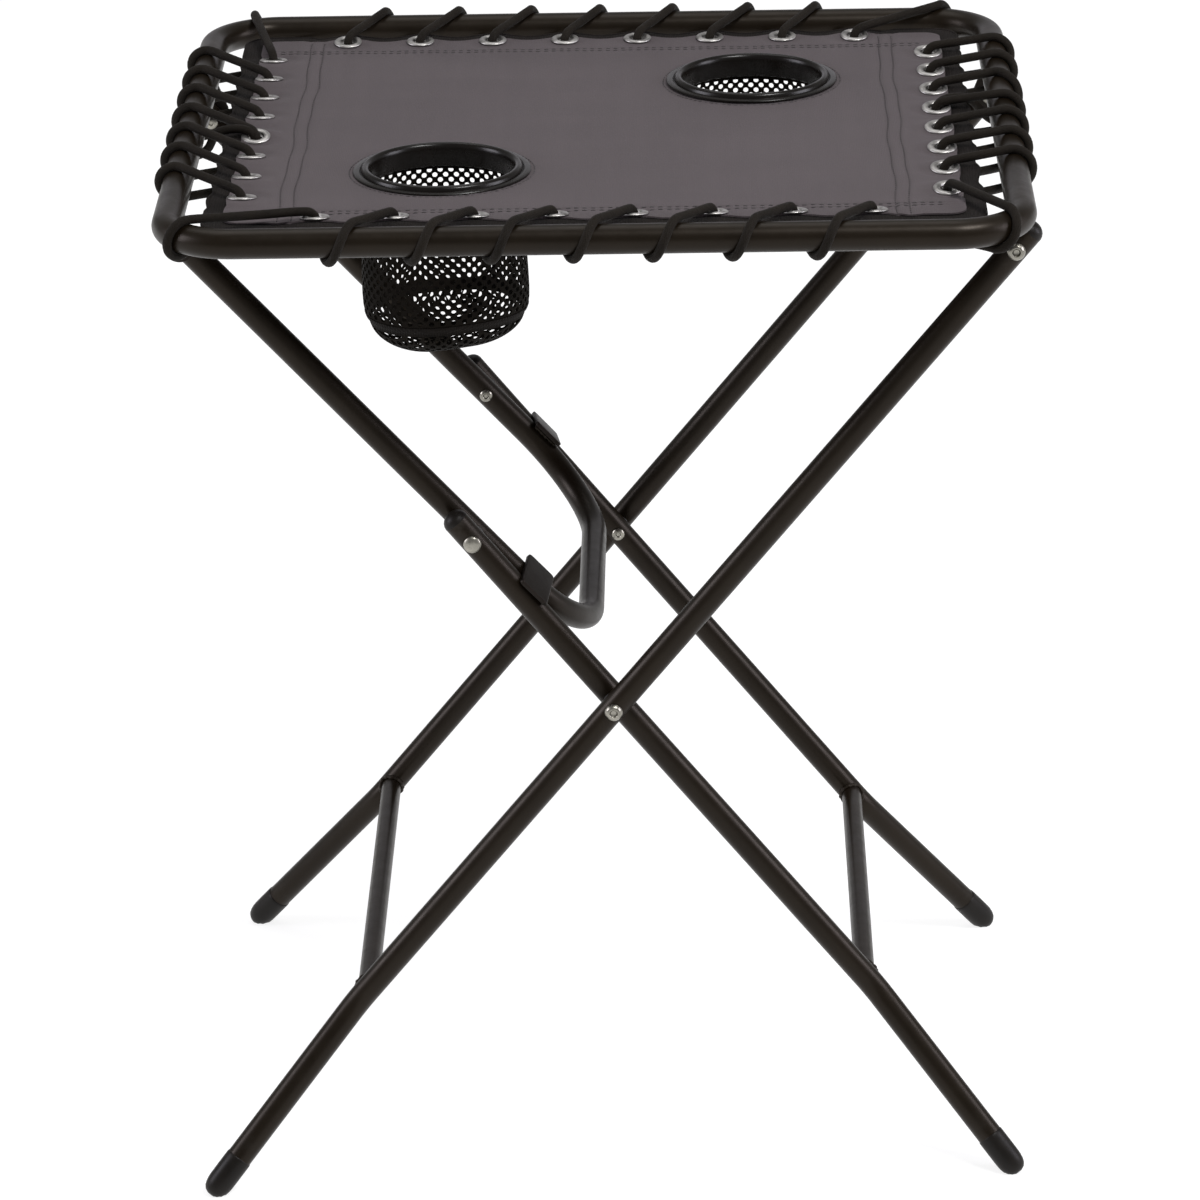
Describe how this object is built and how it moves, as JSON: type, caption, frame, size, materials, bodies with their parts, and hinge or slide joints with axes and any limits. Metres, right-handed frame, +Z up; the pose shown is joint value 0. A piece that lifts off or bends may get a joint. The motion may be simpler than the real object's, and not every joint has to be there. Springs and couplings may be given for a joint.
{
  "type": "folding side table",
  "caption": "Folding side table: laced grey sling in a black round-tube frame, mesh cup holders, crossed splayed legs and a folding U-shaped lock bar.",
  "frame": {"origin": "on the floor, under the middle of the tabletop, with the table open and standing", "axes": "+Z up; +X along the tabletop's long side, towards the rails that carry the outer legs; +Y along its short side"},
  "size_m": [0.5352, 0.4992, 0.6437],
  "materials": {
    "black_painted_steel": "semi-gloss powder coat",
    "rivet_steel": "bright, lightly worn",
    "grey_mesh_cloth": "coarse coated mesh weave, matte",
    "dark_webbing": "ribbed webbing, matte",
    "dark_mesh": "perforated knitted mesh, slight sheen",
    "elastic_cord": "braided sheath, matte",
    "black_plastic": "satin moulded",
    "black_rubber": "matte moulded"
  },
  "bodies": {
    "tabletop": {"bar_bracket_front": "black_painted_steel", "bar_bracket_rear": "black_painted_steel", "bar_rivet_front": "rivet_steel", "bar_rivet_rear": "rivet_steel", "cup_ring_left": "black_plastic", "cup_ring_right": "black_plastic", "edge_band": "dark_webbing", "lace_front": "elastic_cord", "lace_rear": "elastic_cord", "leg_bracket_front": "black_painted_steel", "leg_bracket_rear": "black_painted_steel", "mesh_pouch_left": "dark_mesh", "mesh_pouch_right": "dark_mesh", "retaining_ring_left": "black_plastic", "retaining_ring_right": "black_plastic", "sling_panel": "grey_mesh_cloth", "top_frame_tube": "black_painted_steel", "top_rivet_front": "rivet_steel", "top_rivet_rear": "rivet_steel"},
    "outer_legs": {"cross_rivet_front": "rivet_steel", "cross_rivet_rear": "rivet_steel", "cross_washer_front": "black_plastic", "cross_washer_rear": "black_plastic", "outer_crossbar": "black_painted_steel", "outer_end_cap_front": "black_plastic", "outer_end_cap_rear": "black_plastic", "outer_foot_cap_front": "black_rubber", "outer_foot_cap_rear": "black_rubber", "outer_leg_front": "black_painted_steel", "outer_leg_rear": "black_painted_steel"},
    "inner_legs": {"inner_crossbar": "black_painted_steel", "inner_end_cap_front": "black_plastic", "inner_end_cap_rear": "black_plastic", "inner_foot_cap_front": "black_rubber", "inner_foot_cap_rear": "black_rubber", "inner_leg_front": "black_painted_steel", "inner_leg_rear": "black_painted_steel", "knee_rivet_head_front": "rivet_steel", "knee_rivet_head_rear": "rivet_steel", "knee_washer_front": "black_plastic", "knee_washer_rear": "black_plastic"},
    "lock_bar": {"knee_rivet_tail_front": "rivet_steel", "knee_rivet_tail_rear": "rivet_steel", "lock_bar": "black_painted_steel", "stop_plate_front": "black_painted_steel", "stop_plate_rear": "black_painted_steel"}
  },
  "joints": [
    {"name": "leg_fold", "type": "hinge", "parent": "tabletop", "child": "outer_legs", "pos_m": [0.25, 0, 0.5982], "axis": [0, 1, 0], "range_deg": [0, 45.27], "deforming": ["mesh_pouch_left", "mesh_pouch_right"]},
    {"name": "leg_cross", "type": "hinge", "parent": "outer_legs", "child": "inner_legs", "pos_m": [0.0061, 0, 0.3068], "axis": [0, 1, 0], "range_deg": [0, 75.3]},
    {"name": "bar_fold", "type": "hinge", "parent": "tabletop", "child": "lock_bar", "pos_m": [-0.25, 0, 0.5982], "axis": [0, 1, 0], "range_deg": [-45, 0]}
  ],
  "couplings": [
    {"joint": "leg_cross", "follows": "leg_fold", "ratio": 1.6605},
    {"joint": "bar_fold", "follows": "leg_fold", "ratio": -0.9905}
  ]
}
